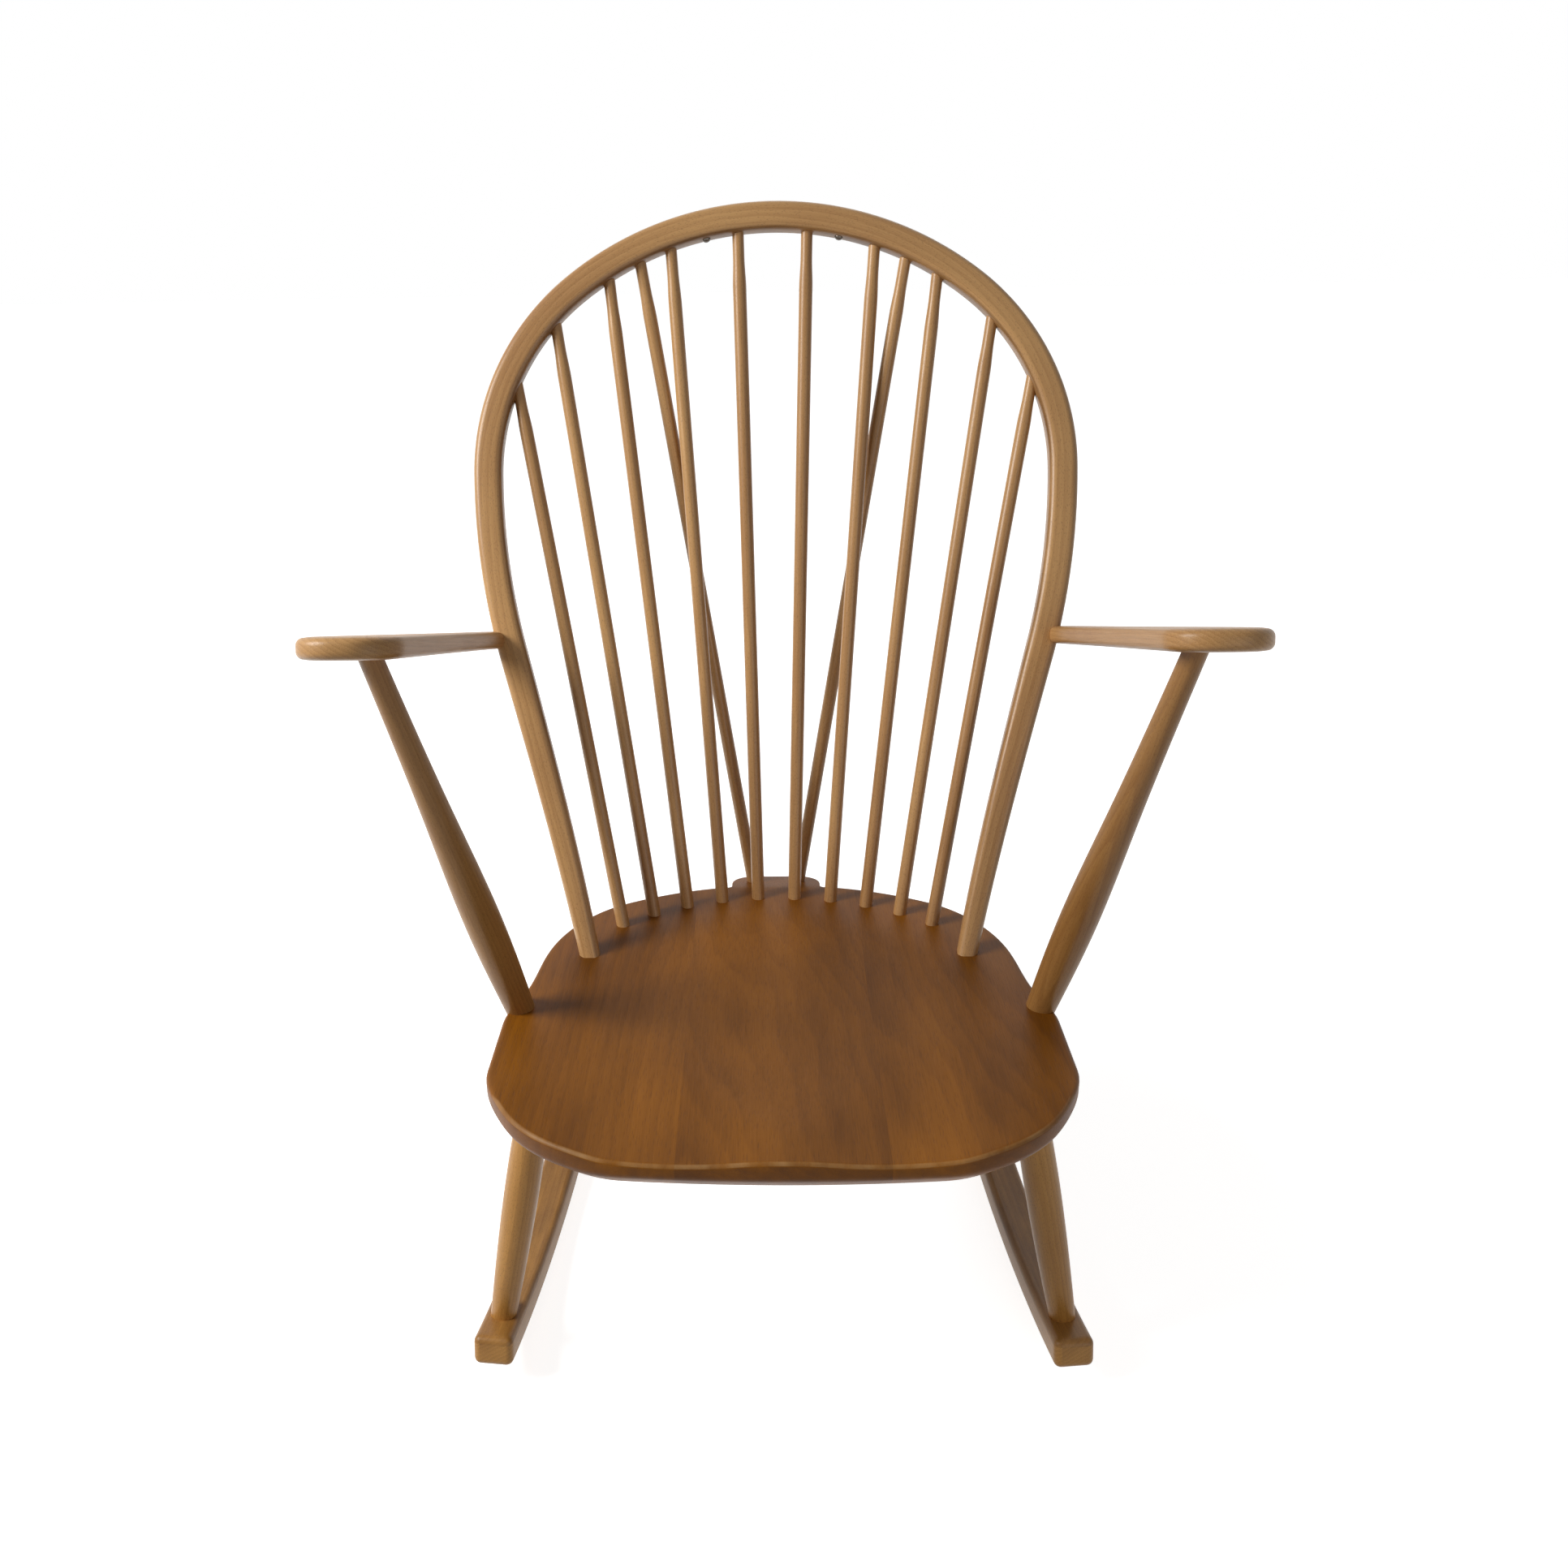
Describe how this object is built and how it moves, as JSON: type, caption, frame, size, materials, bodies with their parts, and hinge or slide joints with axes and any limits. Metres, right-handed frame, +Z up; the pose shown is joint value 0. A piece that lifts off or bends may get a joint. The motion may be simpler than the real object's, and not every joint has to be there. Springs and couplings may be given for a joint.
{
  "type": "hoop back rocking chair",
  "caption": "Low wooden armchair on bent rockers, with a bent hoop back filled with turned sticks, brace sticks behind, flat arms, turned legs and a saddled seat.",
  "frame": {"origin": "on the floor, at the middle of the overall width and depth", "axes": "+Z up, +X to the right of a viewer who faces the chair's front, the chair faces -Y"},
  "size_m": [0.6966, 0.7052, 0.971],
  "materials": {
    "seat_elm": "satin varnished elm, mid brown, grain from front to back",
    "beech": "satin varnished beech, golden brown, grain along each piece",
    "steel": "plain bright steel",
    "brass": "aged dull brass"
  },
  "bodies": {
    "root": {"seat_board_left": "seat_elm", "seat_board_middle": "seat_elm", "seat_board_right": "seat_elm", "hoop": "beech", "hoop_foot_wedges": "beech", "stick_1": "beech", "stick_2": "beech", "stick_3": "beech", "stick_4": "beech", "stick_5": "beech", "stick_6": "beech", "stick_7": "beech", "stick_8": "beech", "stick_9": "beech", "stick_10": "beech", "brace_stick_left": "beech", "brace_stick_right": "beech", "arm_support_left": "beech", "arm_support_right": "beech", "arm_left": "beech", "arm_right": "beech", "arm_screws": "steel", "arm_screw_plugs": "beech", "rocker_left": "beech", "rocker_right": "beech", "front_leg_left": "beech", "front_leg_right": "beech", "rear_leg_left": "beech", "rear_leg_right": "beech", "strap_studs": "brass"}
  },
  "joints": []
}
